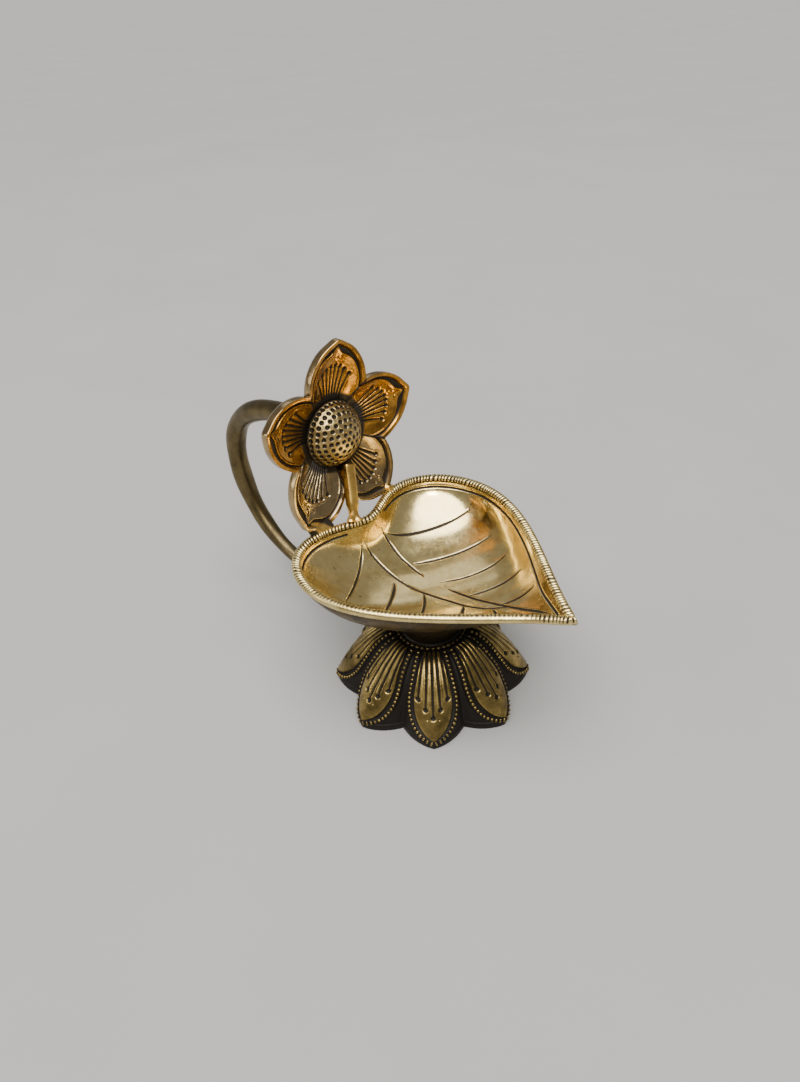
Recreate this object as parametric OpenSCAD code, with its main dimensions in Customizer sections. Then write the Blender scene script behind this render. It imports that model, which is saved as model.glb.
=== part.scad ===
// Standing brass oil lamp: a leaf-shaped oil bowl on a hollow lotus foot, with a five-petalled
// flower over the bowl's notch and a finger-loop handle behind it.
// Millimetres. Origin: the middle of the foot on the table. +X: the leaf's tip. +Z: up.

/* [Lotus foot] */
// Radius at the tips of the lotus petals
foot_radius = 33; // [31:0.5:35]
// Height of the lotus foot
foot_height = 23.5; // [22:0.5:26]
// Number of lotus petals around the foot
foot_petals = 8; // [7:1:10]
// Turn of the foot about the lamp's axis, in degrees
foot_turn = -3; // [-22:1:22]
// Height of the raised panel on each lotus petal
panel_height = 0.7; // [0.4:0.1:1]

/* [Neck] */
// Height of the neck above the foot
neck_height = 10; // [9:0.5:13]
// Radius of the neck's flared top
neck_top_radius = 13.4; // [12.8:0.2:14.4]
// Number of beads around the neck's collar
collar_beads = 40; // [24:1:42]

/* [Leaf bowl] */
// Distance from the lamp's axis to the leaf's tip
tip_reach = 52.8; // [48:0.4:56]
// Distance from the lamp's axis to the back of the leaf's two lobes
lobe_reach = 31.8; // [31:0.2:33]
// Half of the leaf's greatest width
half_width = 38.2; // [36:0.2:41]
// Depth of the oil bowl below its rim
bowl_depth = 17.2; // [15:0.2:19]
// Thickness of the bowl's floor
floor_thickness = 2.3; // [2.1:0.1:2.6]
// Diameter of the roped rim
rope_diameter = 2.6; // [2.2:0.1:3]

/* [Flower] */
// Radius of the flower at its shortest petal's tip
flower_radius = 30.5; // [29:0.5:31]
// Height of the flower's middle above the bowl's rim
flower_lift = 27.2; // [26.7:0.5:29.2]
// How far the flower leans back, in degrees
flower_tilt = 4.4; // [2:0.2:6]
// How deep the flower is cupped
cup_depth = 6; // [5:0.5:7.5]
// Radius of the domed centre
dome_radius = 10.9; // [10.4:0.1:11.2]
// Height of the domed centre
dome_height = 7.7; // [7:0.1:8.4]

/* [Handle] */
// How far the loop reaches behind the lamp's axis, to the middle of the rod
handle_reach = 96.2; // [90:0.4:100]
// Diameter of the rod at the top of the loop
handle_diameter = 7.4; // [6.6:0.2:8]
// Diameter of the rod where it passes under the bowl
handle_tail_diameter = 4.6; // [4:0.2:5]

/* [Fasteners] */
// Diameter of the centre stud and of the handle's upper tenon
stud_diameter = 5; // [4:1:5]

/* [Hidden] */

BRASS = [0.80, 0.66, 0.36];
DARK_BRASS = [0.42, 0.34, 0.20];
GOLD_BRASS = [0.84, 0.66, 0.30];

// Heights, from the table up
web_top = foot_height - 1.5;            // floor of the recess that the neck stands in
web_bottom = web_top - 3.5;             // roof of the hollow foot
neck_top = foot_height + neck_height;
eye_thickness = 2.5;
seat_z = neck_top + eye_thickness;      // underside of the bowl's shoulder
bowl_bottom = seat_z + floor_thickness; // oil floor, at its lowest
rim_z = bowl_bottom + bowl_depth;       // middle of the roped rim
rope_r = rope_diameter / 2;

// The stud and its fittings
stud_r = stud_diameter / 2;
clear = 0.1;                            // radial clearance round plain shanks
boss_r = 6.4;                           // tapped boss under the bowl
boss_drop = 5;                          // how far the boss reaches below the handle's eye
washer_t = 1;
nut_t = 0.8 * stud_diameter;
stud_bottom = web_bottom - washer_t - nut_t - 2;
stud_top = seat_z - 0.4;

// The flower's frame: its middle on the plane of its petal tips
flower_x = -lobe_reach - 2;
flower_z = rim_z + flower_lift;
flower_yaw = -0.8;
flower_spin = 5.9;
hub_t = 3.2;                            // thickness of the flower's hub
notch_x = -0.818 * lobe_reach;          // rim's middle at the notch

// ---------- shared formulas ----------

function lerp(a, b, t) = a + (b - a) * t;
function clamp01(t) = min(1, max(0, t));
function smooth(t) = let(c = clamp01(t)) c * c * (3 - 2 * c);
function bezier(p, t) = pow(1 - t, 3) * p[0] + 3 * t * pow(1 - t, 2) * p[1]
    + 3 * t * t * (1 - t) * p[2] + pow(t, 3) * p[3];
function mirror_y(p) = [p[0], -p[1]];

// Triangles that close a stack of rings, each of n points, with a point at either end.
// Point 0 is the start point, then come the rings, then the end point.
function shell_faces(rings, n) = concat(
    [for (j = [0:n - 1]) [0, 1 + (j + 1) % n, 1 + j]],
    [for (i = [0:rings - 2], j = [0:n - 1])
        let(a = 1 + i * n + j, b = 1 + i * n + (j + 1) % n) [a, b, b + n]],
    [for (i = [0:rings - 2], j = [0:n - 1])
        let(a = 1 + i * n + j, b = 1 + i * n + (j + 1) % n) [a, b + n, a + n]],
    [for (j = [0:n - 1]) let(a = 1 + (rings - 1) * n) [a + j, a + (j + 1) % n, 1 + rings * n]]);

module shell(first, rings, last) {
    n = len(rings[0]);
    polyhedron(points = concat([first], [for (r = rings) for (p = r) p], [last]),
        faces = shell_faces(len(rings), n));
}

// ---------- lotus foot ----------

// Ridge of a petal and valley between two petals, as [radius, height], from the crown down
ridge = [[12.6, 1], [14.6, 1], [16.6, 0.96], [19.3, 0.87], [21.9, 0.765], [24.3, 0.655], [26.5, 0.55],
    [28.6, 0.43], [30.4, 0.315], [31.7, 0.21], [32.6, 0.145], [33, 0.1]];
valley = [[12.6, 0.985], [14.5, 0.975], [16.4, 0.93], [18.6, 0.85], [20.5, 0.75], [22, 0.65], [23.2, 0.55],
    [24.2, 0.43], [25, 0.33], [25.5, 0.24], [25.9, 0.165], [26, 0.1]];
// Half-width of the raised panel at each of those levels, as a share of the half petal
panel_share = [0.5, 0.5, 0.52, 0.55, 0.57, 0.57, 0.55, 0.50, 0.42, 0.31, 0.16, 0.05];
columns = [0, 0.5, 0.92, 1.0, 1.25, 1.45];    // across the panel and its groove, in panel widths
petal_step = 360 / foot_petals;

// Positions across half a petal at level i: 0 at the ridge, 1 at the valley
function spots(i) = let(e = panel_share[i])
    [for (k = [0:7]) k < 6 ? e * columns[k] : k == 6 ? lerp(e * 1.45, 1, 0.45) : lerp(e * 1.45, 1, 0.8)];
// Panel up, groove down, border up again
function relief(k, i) = i < 2 || i > 10 ? 0 : k < 3 ? panel_height : k == 3 ? panel_height * 0.8
    : k < 6 ? -0.35 : 0.15;
function crown_shape(u, i) = 1 - pow(u, lerp(2, 1.3, i / 11));
function petal_point(side, k, i) = let(
    u = k == 8 ? 1 : spots(i)[k],
    f = crown_shape(u, i),
    a = side * u * petal_step / 2,
    lift = k == 8 ? 0 : relief(k, i),
    r = lerp(valley[i][0], ridge[i][0], f) * foot_radius / 33 + 0.75 * lift,
    z = lerp(valley[i][1], ridge[i][1], f) * foot_height + (i < 11 ? 0.55 * lift : 0))
    [r * cos(a), r * sin(a), z];
function turn(p, a) = [p[0] * cos(a) - p[1] * sin(a), p[0] * sin(a) + p[1] * cos(a), p[2]];
function foot_ring(i) = [for (q = [0:foot_petals - 1], k = [-7:8])
    turn(petal_point(k < 0 ? -1 : 1, abs(k), i), q * petal_step)];

module lotus_base() color(DARK_BRASS) rotate([0, 0, foot_turn])
    difference() {
        union() {
            shell([0, 0, foot_height], [for (i = [0:11]) foot_ring(i)], [0, 0, foot_height * 0.1]);
            linear_extrude(height = foot_height * 0.1)
                polygon([for (p = foot_ring(11)) [p[0], p[1]]]);
        }
        // Recess for the neck's collar, and the stud's hole
        translate([0, 0, web_top]) cylinder(r = 12.25, h = 5, $fn = 96);
        translate([0, 0, -1]) cylinder(r = stud_r + clear, h = foot_height + 2, $fn = 48);
        // The hollow, with an even wall and a flat roof
        rotate_extrude($fn = 96) polygon([[0, -1], [22.4, -1], [22.4, 3], [21, 8], [18.6, 13],
            [14.5, web_bottom - 1.4], [12.2, web_bottom], [0, web_bottom]]);
    }

// ---------- neck ----------

module neck_spool() color(DARK_BRASS)
    difference() {
        union() {
            rotate_extrude($fn = 96) polygon([[0, web_top], [12.1, web_top], [12.1, web_top + 1.0],
                [10.3, web_top + 1.0], [9.5, web_top + 1.7], [9.5, web_top + 2.4],
                [10.1, web_top + 3.1], [10.3, web_top + 4.2], [10.9, web_top + 5.8],
                [lerp(10.9, neck_top_radius, 0.28), lerp(web_top + 5.8, neck_top, 0.4)],
                [lerp(10.9, neck_top_radius, 0.66), lerp(web_top + 5.8, neck_top, 0.75)],
                [neck_top_radius, neck_top], [0, neck_top]]);
            for (k = [0:collar_beads - 1])
                rotate([0, 0, k * 360 / collar_beads]) translate([11.2, 0, web_top + 1.0])
                    sphere(r = 0.78, $fn = 20);
        }
        translate([0, 0, web_top - 1]) cylinder(r = stud_r + clear, h = neck_height + 5, $fn = 48);
        // Socket for the boss under the bowl
        translate([0, 0, neck_top - boss_drop - 0.4]) cylinder(r = boss_r + clear, h = 10, $fn = 64);
    }

// ---------- leaf bowl ----------

// Half of the rim's middle line, tip to notch, as three curves
side_point = [-0.28 * lobe_reach, half_width];
lobe_point = [-lobe_reach, 0.52 * half_width];
leaf_curves = [
    [[tip_reach, 0], [0.64 * tip_reach, 0.31 * half_width], [0.25 * tip_reach, half_width], side_point],
    [side_point, [-0.69 * lobe_reach, half_width], [-lobe_reach, 0.785 * half_width], lobe_point],
    [lobe_point, [-lobe_reach, 0.29 * half_width], [-0.85 * lobe_reach, 0.18 * half_width], [notch_x, 0]]];
half_leaf = concat([for (t = [0:19]) bezier(leaf_curves[0], t / 20)],
    [for (t = [0:10]) bezier(leaf_curves[1], t / 11)],
    [for (t = [0:9]) bezier(leaf_curves[2], t / 10)]);
half_n = len(half_leaf);
leaf_line = concat(half_leaf, [[notch_x, 0]], [for (k = [half_n - 1:-1:1]) mirror_y(half_leaf[k])]);
leaf_n = len(leaf_line);
leaf_middle = [-4, 0];
function unit(v) = v / norm(v);
// Outward direction, square to the rim
function outward(j) = let(d = unit(leaf_line[(j + 1) % leaf_n] - leaf_line[(j + leaf_n - 1) % leaf_n]))
    j == 0 ? [1, 0] : j == half_n ? [-1, 0] : [d[1], -d[0]];
rim_out = [for (j = [0:leaf_n - 1]) outward(j)];
function at_rim(j, off) = leaf_line[j] + off * rim_out[j];
// Share of the way out that the bowl's wall has reached at height h (0 the floor, 1 the rim):
// rounded behind and at the sides, spoon-like towards the tip
function side_reach(h, round) = sqrt(max(0, 1 - pow(1 - h, round)));
function tip_reach_at(h) = pow(h, 0.66);
// Level line of the bowl's wall at height h: an oval near the floor, the leaf at the rim
oval = [tip_reach - leaf_middle[0], lobe_reach + leaf_middle[0], half_width];
function level_point(h, p, w, side) = let(ax = p[0] > 0 ? oval[0] : oval[1],
    a = atan2(p[1] / oval[2], p[0] / ax), round = [ax * cos(a), oval[2] * sin(a)],
    q = round + w * (p - round))
    leaf_middle + [q[0] * (p[0] > 0 ? tip_reach_at(h) : side), q[1] * side];
function inside_point(h, j) = let(p = level_point(h, at_rim(j, -0.9 * rope_r) - leaf_middle, smooth(h),
    side_reach(h, 1.85)))
    [p[0], p[1], bowl_bottom + (bowl_depth - 0.5) * h];
// The outside is less rounded than the inside, but for the notch. Under the bowl a pad gathers
// towards the boss.
function slim(j) = leaf_line[j][0] > 0 ? 1 : smooth((abs(leaf_line[j][1]) - 6) / 12);
function outside_point(h, j) = let(s = slim(j),
    p = level_point(h, at_rim(j, lerp(0.62, 0.2, s) * rope_r) - leaf_middle, smooth(h),
        side_reach(h, lerp(1.85, 1.72, s))),
    z = bowl_bottom - floor_thickness + (bowl_depth + floor_thickness - 0.9) * h)
    [p[0], p[1], min(z, seat_z + 1.3 + 0.85 * max(0, norm(p) - 13.5))];
function rope_point(a, j) = let(p = at_rim(j, rope_r * cos(a))) [p[0], p[1], rim_z + rope_r * sin(a)];
// The chased line that follows the rim inside
function groove_point(h, j, d) = let(p = inside_point(h, j))
    [p[0] + d * rim_out[j][0], p[1] + d * rim_out[j][1], p[2] - d];
inside_levels = [0.004, 0.02, 0.05, 0.1, 0.17, 0.26, 0.37, 0.5, 0.62, 0.74];
outside_levels = [1, 0.9, 0.78, 0.64, 0.5, 0.37, 0.25, 0.16, 0.09, 0.04, 0.01];

module leaf_bowl() color(BRASS)
    difference() {
        union() {
            shell([leaf_middle[0], leaf_middle[1], bowl_bottom], concat(
                [for (h = inside_levels) [for (j = [0:leaf_n - 1]) inside_point(h, j)]],
                [[for (j = [0:leaf_n - 1]) inside_point(0.82, j)],
                    [for (j = [0:leaf_n - 1]) groove_point(0.85, j, 0.35)],
                    [for (j = [0:leaf_n - 1]) inside_point(0.88, j)]],
                [for (a = [195, 150, 110, 70, 30, -15, -50]) [for (j = [0:leaf_n - 1]) rope_point(a, j)]],
                [for (h = outside_levels) [for (j = [0:leaf_n - 1]) outside_point(h, j)]]),
                [leaf_middle[0], leaf_middle[1], seat_z + 0.01]);
            translate([0, 0, seat_z]) cylinder(r1 = neck_top_radius - 0.1, r2 = neck_top_radius + 0.6,
                h = floor_thickness - 0.6, $fn = 96);
            translate([0, 0, seat_z - eye_thickness - boss_drop])
                cylinder(r = boss_r, h = eye_thickness + boss_drop + 1, $fn = 64);
        }
        translate([0, 0, seat_z - eye_thickness - boss_drop - 1])
            cylinder(r = stud_r, h = eye_thickness + boss_drop + 1, $fn = 48);
    }

// ---------- flower ----------

module at_flower() translate([flower_x, 0, flower_z]) rotate([0, 0, flower_yaw])
    rotate([0, 90 - flower_tilt, 0]) children();

petal_cols = [-1, -0.86, -0.7, -0.5, -0.28, -0.12, 0, 0.12, 0.28, 0.5, 0.7, 0.86];
flower_n = 5 * len(petal_cols);
function flower_angle(j) = 180 - flower_spin + 72 * floor(j / 12) + 36 * petal_cols[j % 12];
// Outline: broad petals that meet in valleys and end in a small point. The petals are cast by hand, so
// some are longer. Number 2 is fuller on its lower side, where it lies along the rope.
petal_extra = [0.6, 1.0, 1.3, 0, 0.2];
function flower_edge(u, k) = (flower_radius - 0.6) + petal_extra[k] * (1 - abs(u))
    - 10.4 * flower_radius / 30.5 * pow(abs(u), k == 2 && u > 0 ? 2.3 : 1.6) + 0.6 * exp(-pow(u / 0.1, 2));
// Cupped face: it rises to the tips, and each petal's sides rise to its edge
function cup(r, u) = -cup_depth + cup_depth * pow(max(0, (r - 8) / (flower_radius - 8)), 1.5)
    + 2.3 * u * u * clamp01((r - 11) / 8.5);
function face_point(s, j, lift) = let(u = petal_cols[j % 12],
    r = lerp(11.6, flower_edge(u, floor(j / 12)), s), a = flower_angle(j))
    [r * cos(a), r * sin(a), cup(r, u) + lift];
function hub_point(r, j, w) = [r * cos(flower_angle(j)), r * sin(flower_angle(j)), w];
function petal_thickness(s) = lerp(hub_t, 2.3, s);

module flower() color(GOLD_BRASS) at_flower()
    difference() {
        shell([0, 0, -cup_depth], concat(
            [[for (j = [0:flower_n - 1]) hub_point(7, j, -cup_depth)]],
            [[for (j = [0:flower_n - 1]) hub_point(11.4, j, -cup_depth)]],
            [for (s = [[0.02, -0.2], [0.25, -0.3], [0.5, -0.35], [0.7, -0.35], [0.83, -0.4], [0.88, 0.1],
                [0.94, 0.25], [0.985, 0.1], [1, -0.35]])
                [for (j = [0:flower_n - 1]) face_point(s[0], j, s[1])]],
            [for (s = [[1.01, -3.2], [0.985, -3.5], [0.8, -3.4], [0.55, -3.3], [0.3, -3.2], [0.1, -3.2]])
                [for (j = [0:flower_n - 1]) face_point(s[0], j, s[1])]],
            [[for (j = [0:flower_n - 1]) hub_point(8, j, -cup_depth - hub_t)]]),
            [0, 0, -cup_depth - hub_t]);
        translate([0, 0, -cup_depth - hub_t - 1]) cylinder(r = stud_r + clear, h = hub_t + 2, $fn = 48);
    }

// The dome is a sphere's cap over a flat face, with rows of punched dimples
dome_ball = (dome_radius * dome_radius + dome_height * dome_height) / (2 * dome_height);
dome_half = asin(dome_radius / dome_ball);
dimple_rows = 5;
module dimple() sphere(r = 1.2, $fn = 16);
module flower_centre() color(DARK_BRASS) at_flower() translate([0, 0, -cup_depth])
    difference() {
        translate([0, 0, dome_height - dome_ball]) difference() {
            sphere(r = dome_ball, $fn = 96);
            translate([-50, -50, -100]) cube([100, 100, 100 + dome_ball - dome_height]);
            translate([0, 0, dome_ball + 0.45]) dimple();
            for (row = [1:dimple_rows])
                let (tilt = row * dome_half / (dimple_rows + 0.55), count = row * 6)
                for (k = [0:count - 1])
                    rotate([0, 0, (k + 0.5 * (row % 2)) * 360 / count]) rotate([0, tilt, 0])
                        translate([0, 0, dome_ball + 0.45]) dimple();
        }
        translate([0, 0, -1]) cylinder(r = stud_r, h = 1 + 4.7, $fn = 48);
    }

// ---------- stem and lugs ----------

// A point of the flower's own frame, in the lamp's frame
function from_flower(p) = let(t = 90 - flower_tilt,
    x = cos(t) * p[0] + sin(t) * p[2], z = -sin(t) * p[0] + cos(t) * p[2])
    [flower_x + x * cos(flower_yaw) - p[1] * sin(flower_yaw),
     x * sin(flower_yaw) + p[1] * cos(flower_yaw), flower_z + z];
// The stem runs straight from under the dome to one side of the notch
stem_top = from_flower([11.2, 2.6, -4.2]);
stem_foot = [notch_x - 1.5, -5.3, rim_z + 1.2];
stem_ankle = lerp(stem_foot, stem_top, 0.17);

module bar(a, b, ra, rb) hull() {
    translate(a) sphere(r = ra, $fn = 8);
    translate(b) sphere(r = rb, $fn = 8);
}
module leaf_stem() color(BRASS) union() {
    bar(stem_top, stem_ankle, 2.0, 1.5);
    bar(stem_ankle, stem_foot, 1.5, 2.1);
}

// Points inside the edges of the two lower petals: u is 0 at the tip and 1 at the next valley
function low_edge(k, u) = from_flower(let(a = 180 - flower_spin + 72 * k + 36 * u,
    r = flower_edge(u, k) - lerp(0.6, 1.2, u)) [r * cos(a), r * sin(a), -1.6]);
module lumps(points, r) hull() for (p = points) translate(p) sphere(r = r, $fn = 8);
module petal_lugs() color(BRASS) {
    // A long seam of braze under petal 2, a short lug under petal 3
    lumps([low_edge(2, 0), low_edge(2, 0.5), [-lobe_reach - 0.6, low_edge(2, 0)[1] + 0.4, rim_z + 0.6],
        [-lobe_reach + 1.2, low_edge(2, 0.5)[1], rim_z + 0.5]], 1.4);
    bar(low_edge(3, 0), [-lobe_reach + 0.3, low_edge(3, 0)[1] + 2.2, rim_z + 0.9], 1.5, 1.6);
}

// ---------- handle ----------

hub_back = from_flower([0, 0, -cup_depth - hub_t]);
loop_start = from_flower([0, 0, -cup_depth - hub_t - 1.5]);
back_z = seat_z + 18;
loop_curves = [
    [loop_start, [-0.81 * handle_reach, 0, flower_z + 2.1], [-handle_reach, 0, flower_z - 9.4],
        [-handle_reach, 0, back_z]],
    [[-handle_reach, 0, back_z], [-handle_reach, 0, back_z - 16], [-0.878 * handle_reach, 0, 18],
        [-0.62 * handle_reach, 0, 17.4]],
    [[-0.62 * handle_reach, 0, 17.4], [-0.46 * handle_reach, 0, 17.2], [-34, 0, neck_top + 1.25],
        [-11, 0, neck_top + 1.25]]];
function loop_at(c, t) = bezier(loop_curves[c], t);
function loop_dir(c, t) = unit(loop_at(c, min(1, t + 0.01)) - loop_at(c, max(0, t - 0.01)));
// Rod radius along the loop, square to it in the loop's plane, and across it
function rod_across(c, t) = c == 0 ? handle_diameter / 2 : c == 1
    ? lerp(handle_diameter, handle_tail_diameter + 0.6, smooth(t)) / 2
    : lerp(handle_tail_diameter + 0.6, 6, smooth(t * 1.1)) / 2;
function rod_deep(c, t) = c < 2 ? rod_across(c, t)
    : lerp((handle_tail_diameter + 0.6) / 2, eye_thickness / 2 - 0.05, smooth(t * 1.15));
rod_sides = 16;
function rod_ring(c, t) = let(p = loop_at(c, t), d = loop_dir(c, t))
    [for (k = [0:rod_sides - 1]) let(a = k * 360 / rod_sides)
        p + rod_deep(c, t) * cos(a) * [-d[2], 0, d[0]] + rod_across(c, t) * sin(a) * [0, 1, 0]];

module handle() color(BRASS)
    difference() {
        union() {
            shell(loop_start, concat(
                [for (k = [0:14]) rod_ring(0, k / 15)], [for (k = [0:13]) rod_ring(1, k / 14)],
                [for (k = [0:12]) rod_ring(2, k / 12)]), loop_curves[2][3]);
            translate([0, 0, neck_top]) cylinder(r = neck_top_radius - 0.1, h = eye_thickness, $fn = 96);
            at_flower() translate([0, 0, -cup_depth - hub_t - 3])
                cylinder(r = handle_diameter / 2 + 0.7, h = 3, $fn = 64);
            at_flower() translate([0, 0, -cup_depth - hub_t - 3])
                cylinder(r = stud_r, h = hub_t + 3 + 4.2, $fn = 48);
        }
        translate([0, 0, neck_top - 1]) cylinder(r = boss_r + clear, h = eye_thickness + 2, $fn = 64);
    }

// ---------- fasteners in the hollow foot ----------

module centre_stud() color(BRASS)
    translate([0, 0, stud_bottom]) union() {
        cylinder(r1 = stud_r - 0.6, r2 = stud_r, h = 0.6, $fn = 48);
        translate([0, 0, 0.6]) cylinder(r = stud_r, h = stud_top - stud_bottom - 1.2, $fn = 48);
        translate([0, 0, stud_top - stud_bottom - 0.6])
            cylinder(r1 = stud_r, r2 = stud_r - 0.6, h = 0.6, $fn = 48);
    }

module stud_washer() color(BRASS) translate([0, 0, web_bottom - washer_t])
    difference() {
        cylinder(r = 2 * stud_r, h = washer_t, $fn = 64);
        translate([0, 0, -1]) cylinder(r = stud_r + clear, h = washer_t + 2, $fn = 48);
    }

module stud_nut() color(BRASS) translate([0, 0, web_bottom - washer_t - nut_t])
    difference() {
        intersection() {
            cylinder(r = 0.8 * stud_diameter / cos(30), h = nut_t, $fn = 6);
            translate([0, 0, -0.3]) cylinder(r1 = 0.8 * stud_diameter, r2 = 0.8 * stud_diameter + 2 * nut_t,
                h = 2 * nut_t, $fn = 64);
        }
        translate([0, 0, -1]) cylinder(r = stud_r, h = nut_t + 2, $fn = 48);
    }

lotus_base();
neck_spool();
leaf_bowl();
leaf_stem();
flower();
flower_centre();
petal_lugs();
handle();
centre_stud();
stud_washer();
stud_nut();
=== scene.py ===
"""Looks for the brass oil lamp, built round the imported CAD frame. Row frame: +X the leaf's tip, +Z up."""
import math

import bpy
import numpy as np
from mathutils import Matrix, Vector
from mathutils.kdtree import KDTree


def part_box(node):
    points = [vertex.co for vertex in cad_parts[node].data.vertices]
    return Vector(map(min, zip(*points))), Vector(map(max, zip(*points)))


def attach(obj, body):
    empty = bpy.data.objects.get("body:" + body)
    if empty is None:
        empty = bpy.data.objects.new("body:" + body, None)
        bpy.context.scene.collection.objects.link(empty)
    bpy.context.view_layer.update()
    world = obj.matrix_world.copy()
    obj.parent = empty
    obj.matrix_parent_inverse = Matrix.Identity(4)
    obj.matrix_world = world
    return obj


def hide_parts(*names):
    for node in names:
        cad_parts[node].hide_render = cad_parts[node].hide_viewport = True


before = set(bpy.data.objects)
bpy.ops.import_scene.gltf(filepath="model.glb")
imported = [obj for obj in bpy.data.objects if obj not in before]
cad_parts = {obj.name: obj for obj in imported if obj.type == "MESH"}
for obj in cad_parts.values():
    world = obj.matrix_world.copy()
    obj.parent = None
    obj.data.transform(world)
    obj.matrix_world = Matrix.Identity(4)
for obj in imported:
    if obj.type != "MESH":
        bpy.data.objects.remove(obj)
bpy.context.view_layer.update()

MM = 0.001
INK_EDGE = 0.32
RANDOM = np.random.default_rng(7)


def box_mm(node):
    """A node's lowest and highest corners, in millimetres."""
    lo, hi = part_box(node)
    return np.array(lo) / MM, np.array(hi) / MM


# ---------- sizes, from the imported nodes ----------

_, foot_hi = box_mm("lotus_base")
neck_lo, neck_hi = box_mm("neck_spool")
bowl_lo, bowl_hi = box_mm("leaf_bowl")
handle_lo, _ = box_mm("handle")
stud_lo, stud_hi = box_mm("centre_stud")
washer_lo, washer_hi = box_mm("stud_washer")
nut_lo, nut_hi = box_mm("stud_nut")

ROPE_R = 1.3
FOOT_H, FOOT_R = foot_hi[2], foot_hi[0]
NECK_TOP = neck_hi[2]
EYE = 2.5
SEAT_Z = NECK_TOP + EYE
FLOOR_T = 2.3
BOWL_BOTTOM = SEAT_Z + FLOOR_T
RIM_Z = bowl_hi[2] - ROPE_R
BOWL_DEPTH = RIM_Z - BOWL_BOTTOM
TIP = bowl_hi[0] - ROPE_R
LOBE = -bowl_lo[0] - ROPE_R
HALF_W = bowl_hi[1] - ROPE_R
NOTCH_X = -0.818 * LOBE
STUD_R = (stud_hi[0] - stud_lo[0]) / 2
BOSS_R = 6.4

FLOWER_R, CUP, HUB_T = 30.5, 6.0, 3.2
FLOWER_MID = np.array([-LOBE - 2.0, 0.0, RIM_Z + 27.2])
FLOWER_TILT, FLOWER_YAW, FLOWER_SPIN = 4.4, -0.8, 5.9
DOME_R, DOME_H = 10.9, 7.7
FOOT_TURN = math.radians(-3)


# ---------- small helpers ----------

def lerp(a, b, t):
    return a + (b - a) * t


def smooth(lo, hi, x):
    """0 at lo and 1 at hi, with soft ends. lo may be the larger."""
    t = np.clip((np.asarray(x, float) - lo) / (hi - lo), 0, 1)
    return t * t * (3 - 2 * t)


def bezier(p, t):
    """Points of a cubic curve with four control points."""
    p, t = np.array(p, float), np.asarray(t, float)[:, None]
    return (1 - t) ** 3 * p[0] + 3 * t * (1 - t) ** 2 * p[1] + 3 * t * t * (1 - t) * p[2] + t ** 3 * p[3]


def unit(vectors):
    return vectors / np.linalg.norm(vectors, axis=1, keepdims=True)


def along(line, closed=False):
    """Length along a line at each of its points."""
    steps = np.linalg.norm(np.diff(line, axis=0, append=line[:1] if closed else line[-1:]), axis=1)
    return np.concatenate([[0], np.cumsum(steps)[:-1]]), steps.sum()


def resample(line, n, closed=False):
    """n points at even steps along the line."""
    at, total = along(line, closed)
    if closed:
        line, at = np.vstack([line, line[:1]]), np.append(at, total)
    want = np.arange(n) / n * total if closed else np.linspace(0, total, n)
    return np.stack([np.interp(want, at, line[:, k]) for k in range(line.shape[1])], 1)


def inked(gap):
    """How packed with patina a point is, from its distance outside a cut's edge. It runs straight
    through the edge, so the shader can draw the edge finer than the mesh."""
    return np.clip(0.5 - np.asarray(gap) / INK_EDGE, -1.0, 2.0)


def curve_value(xs, ys, x):
    """A smooth curve through the points (Catmull-Rom), at x."""
    xs, ys, x = np.array(xs, float), np.array(ys, float), np.asarray(x, float)
    i = np.clip(np.searchsorted(xs, x, side="right") - 1, 0, len(xs) - 2)
    slope = np.gradient(ys, xs)
    h = xs[i + 1] - xs[i]
    t = np.clip((x - xs[i]) / h, 0, 1)
    return ((2 * t ** 3 - 3 * t ** 2 + 1) * ys[i] + (t ** 3 - 2 * t ** 2 + t) * h * slope[i]
            + (3 * t ** 2 - 2 * t ** 3) * ys[i + 1] + (t ** 3 - t ** 2) * h * slope[i + 1])


def grid_normals(rows, wrap=True):
    """Outward normals of a grid whose columns run anticlockwise and whose rows run away from the start."""
    du = np.roll(rows, -1, 1) - np.roll(rows, 1, 1) if wrap else np.gradient(rows, axis=1)
    dv = np.gradient(rows, axis=0)
    n = np.cross(dv, du)
    return n / np.maximum(np.linalg.norm(n, axis=2, keepdims=True), 1e-9)


def tree_of(points):
    """A search tree over points."""
    tree = KDTree(len(points))
    for k, p in enumerate(points.tolist()):
        tree.insert(Vector(p), k)
    tree.balance()
    return tree


def nearest(line, points):
    """Distance from each point to the nearest point of a line, and that point's place in the line."""
    tree = tree_of(line)
    found = [tree.find(Vector(p)) for p in points.reshape(-1, 3).tolist()]
    shape = points.shape[:-1]
    return (np.array([f[2] for f in found]).reshape(shape),
            np.array([f[1] for f in found]).reshape(shape))


def place(name, data):
    """A new object in the scene."""
    thing = bpy.data.objects.new(name, data)
    bpy.context.scene.collection.objects.link(thing)
    return thing


def make_piece(name, shape, nodes, material, flat_angle=None):
    """A finished piece on the body, from points in millimetres, faces and per-point attributes."""
    verts, faces, values = shape
    mesh = bpy.data.meshes.new(name)
    mesh.from_pydata((np.asarray(verts, float) * MM).tolist(), [], faces)
    mesh.validate()
    for key, v in values.items():
        layer = mesh.attributes.new(key, "FLOAT", "POINT")
        layer.data.foreach_set("value", np.asarray(v, np.float32).ravel())
    mesh.shade_smooth()
    if flat_angle:
        mesh.set_sharp_from_angle(angle=math.radians(flat_angle))
    mesh.materials.append(material)
    piece = place(name, mesh)
    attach(piece, "root")
    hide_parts(*nodes)


def grid_faces(r, n):
    """The faces between r rings of n points each."""
    i, j = np.meshgrid(np.arange(r - 1), np.arange(n), indexing="ij")
    a, b = i * n + j, i * n + (j + 1) % n
    return np.stack([a, a + n, b + n, b], -1).reshape(-1, 4).tolist()


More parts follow.
